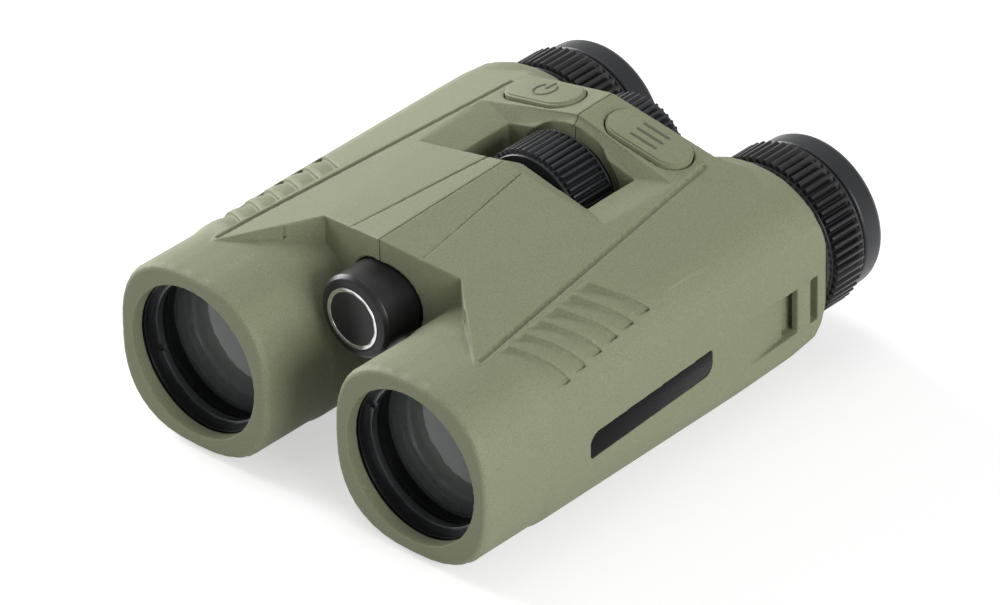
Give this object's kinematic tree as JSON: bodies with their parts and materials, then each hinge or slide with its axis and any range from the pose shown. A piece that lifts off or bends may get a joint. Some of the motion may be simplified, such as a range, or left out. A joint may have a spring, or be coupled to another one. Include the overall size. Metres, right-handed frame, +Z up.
{
  "type": "laser rangefinder",
  "caption": "Laser rangefinding binocular: two armoured barrels on one hinge, centre focus, twist-up eyecups, measuring and mode buttons.",
  "frame": {"origin": "under the middle of the part, on the plane both barrels lie on", "axes": "+Y from the objectives to the eyepieces along the barrels and the hinge, +Z up towards the deck with the buttons, +X to the user's left"},
  "size_m": [0.1296, 0.16, 0.0674],
  "materials": {
    "armour_rubber": "moulded, fine matt grain",
    "magnesium_housing": "matt black",
    "black_anodised": "black anodised, satin",
    "ring_metal": "grey anodised, satin",
    "coated_glass": "anti-reflection coated, faint green",
    "eyecup_rubber": "smooth satin",
    "gloss_black": "glossy, bare",
    "hinge_steel": "turned",
    "bearing_brass": "machined",
    "battery_sleeve": "bare shrink sleeve",
    "satin_black": "satin",
    "bright_ring": "polished",
    "board_green": "solder mask",
    "module_black": "moulded housing",
    "knurl_black": "satin, saw-tooth knurl"
  },
  "bodies": {
    "right_half": {"right_armour": "armour_rubber", "right_chassis": "magnesium_housing", "right_objective_cell": "black_anodised", "right_retaining_ring": "ring_metal", "right_objective_lens": "coated_glass", "right_prism_holder": "magnesium_housing", "right_prism": "coated_glass", "right_eyepiece_tube": "black_anodised", "right_ocular_lens": "coated_glass", "right_eyepiece_collar": "black_anodised", "hinge_axle": "hinge_steel", "rear_bushing": "bearing_brass", "battery": "battery_sleeve", "circuit_board": "board_green", "laser_receiver": "module_black", "display_module": "module_black"},
    "left_half": {"left_armour": "armour_rubber", "left_chassis": "magnesium_housing", "left_objective_cell": "black_anodised", "left_retaining_ring": "ring_metal", "left_objective_lens": "coated_glass", "left_prism_holder": "magnesium_housing", "left_prism": "coated_glass", "left_eyepiece_tube": "black_anodised", "left_ocular_lens": "coated_glass", "left_eyepiece_collar": "black_anodised", "side_plate": "gloss_black", "laser_emitter": "module_black"},
    "focus_drive": {"focus_wheel": "knurl_black", "focus_shaft": "hinge_steel", "rear_knob": "knurl_black"},
    "focus_carrier": {"focus_nut": "bearing_brass"},
    "battery_carrier": {"battery_contact": "bearing_brass"},
    "battery_door": {"battery_cap": "satin_black", "cap_ring": "bright_ring"},
    "measure_key": {"measure_button": "armour_rubber"},
    "mode_key": {"mode_button": "armour_rubber"},
    "right_focusing_cell": {"right_focus_cell": "magnesium_housing", "right_focus_lens": "coated_glass"},
    "right_dioptre": {"right_dioptre_ring": "black_anodised"},
    "right_eyecup_key": {"right_eyecup_guide": "ring_metal"},
    "right_eyecup_turn": {"right_eyecup_sleeve": "black_anodised", "right_eyecup": "eyecup_rubber"},
    "left_focusing_cell": {"left_focus_cell": "magnesium_housing", "left_focus_lens": "coated_glass"},
    "left_dioptre": {"left_dioptre_ring": "black_anodised"},
    "left_eyecup_key": {"left_eyecup_guide": "ring_metal"},
    "left_eyecup_turn": {"left_eyecup_sleeve": "black_anodised", "left_eyecup": "eyecup_rubber"}
  },
  "joints": [
    {"name": "ipd_hinge", "type": "hinge", "parent": "right_half", "child": "left_half", "pos_m": [0, -0.02005, 0.0459], "axis": [0, 1, 0], "range_deg": [0, 38]},
    {"name": "focus_turn", "type": "hinge", "parent": "right_half", "child": "focus_drive", "pos_m": [0, 0.01595, 0.0459], "axis": [0, 1, 0], "range_deg": [0, 450]},
    {"name": "focus_travel", "type": "slide", "parent": "right_half", "child": "focus_carrier", "axis": [0, 1, 0], "range_m": [0, 0.005]},
    {"name": "right_lens_travel", "type": "slide", "parent": "right_half", "child": "right_focusing_cell", "axis": [0, 1, 0], "range_m": [0, 0.0052]},
    {"name": "left_lens_travel", "type": "slide", "parent": "left_half", "child": "left_focusing_cell", "axis": [0, 1, 0], "range_m": [0, 0.0052]},
    {"name": "battery_cap_turn", "type": "hinge", "parent": "battery_carrier", "child": "battery_door", "pos_m": [0, -0.05205, 0.0459], "axis": [0, -1, 0], "range_deg": [0, 720]},
    {"name": "battery_cap_out", "type": "slide", "parent": "right_half", "child": "battery_carrier", "axis": [0, -1, 0], "range_m": [0, 0.006]},
    {"name": "measure_press", "type": "slide", "parent": "right_half", "child": "measure_key", "axis": [0.225, 0, -0.9744], "range_m": [0, 0.0008], "stiffness_N_per_m": 1500, "springref_m": -0.0006},
    {"name": "mode_press", "type": "slide", "parent": "left_half", "child": "mode_key", "axis": [-0.225, 0, -0.9744], "range_m": [0, 0.0008], "stiffness_N_per_m": 1500, "springref_m": -0.0006},
    {"name": "right_dioptre_turn", "type": "hinge", "parent": "right_half", "child": "right_dioptre", "pos_m": [-0.038, 0.06545, 0.0288], "axis": [0, 1, 0], "range_deg": [-35, 35]},
    {"name": "right_eyecup_out", "type": "slide", "parent": "right_half", "child": "right_eyecup_key", "axis": [0, 1, 0], "range_m": [0, 0.008]},
    {"name": "right_eyecup_twist", "type": "hinge", "parent": "right_eyecup_key", "child": "right_eyecup_turn", "pos_m": [-0.038, 0.07595, 0.0288], "axis": [0, -1, 0], "range_deg": [0, 150]},
    {"name": "left_dioptre_turn", "type": "hinge", "parent": "left_half", "child": "left_dioptre", "pos_m": [0.038, 0.06545, 0.0288], "axis": [0, 1, 0], "range_deg": [-35, 35]},
    {"name": "left_eyecup_out", "type": "slide", "parent": "left_half", "child": "left_eyecup_key", "axis": [0, 1, 0], "range_m": [0, 0.008]},
    {"name": "left_eyecup_twist", "type": "hinge", "parent": "left_eyecup_key", "child": "left_eyecup_turn", "pos_m": [0.038, 0.07595, 0.0288], "axis": [0, -1, 0], "range_deg": [0, 150]}
  ],
  "couplings": [
    {"joint": "focus_turn", "follows": "focus_travel", "rad_per_m": 1570.8},
    {"joint": "right_lens_travel", "follows": "focus_travel", "ratio": 1},
    {"joint": "left_lens_travel", "follows": "focus_travel", "ratio": 1},
    {"joint": "battery_cap_turn", "follows": "battery_cap_out", "rad_per_m": 2094.4},
    {"joint": "right_eyecup_out", "follows": "right_eyecup_twist", "m_per_rad": 0.0029794},
    {"joint": "left_eyecup_out", "follows": "left_eyecup_twist", "m_per_rad": 0.0029794}
  ]
}
